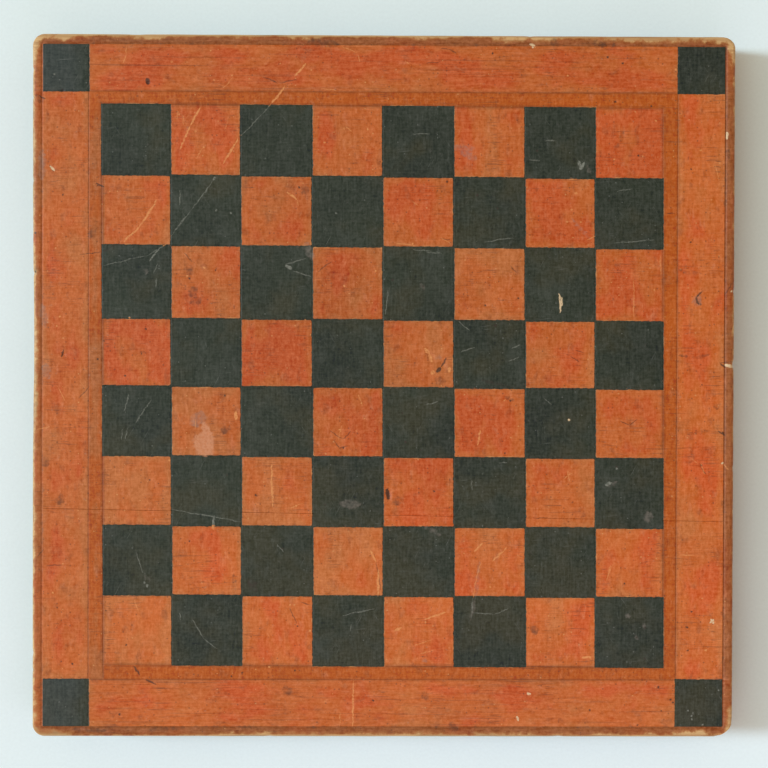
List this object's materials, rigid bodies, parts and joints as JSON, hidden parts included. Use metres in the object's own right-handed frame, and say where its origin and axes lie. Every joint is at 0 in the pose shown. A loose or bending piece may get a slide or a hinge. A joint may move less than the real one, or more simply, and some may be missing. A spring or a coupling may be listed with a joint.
{
  "type": "checkerboard",
  "caption": "Square wooden checkerboard: a glued board panel with a worked bead edge, scribed lines and dark painted squares, kept flat by screwed battens across its back.",
  "frame": {"origin": "centre of the underside, on the surface that the battens rest on", "axes": "+Z out of the playing face, +X to the right and +Y to the back edge, as the picture shows the face"},
  "size_m": [0.3826, 0.3826, 0.0312],
  "materials": {
    "orange_paint": "worn orange oil paint over pine, with bare wood along the edges and at the corners",
    "bare_wood": "unpainted pine, browned with age",
    "old_steel": "darkened steel",
    "dark_paint": "worn green-black oil paint over the orange coat"
  },
  "bodies": {
    "root": {"back_board": "orange_paint", "front_board": "orange_paint", "left_batten": "bare_wood", "right_batten": "bare_wood", "batten_screws": "old_steel", "dark_squares": "dark_paint", "corner_squares": "dark_paint"}
  },
  "joints": []
}
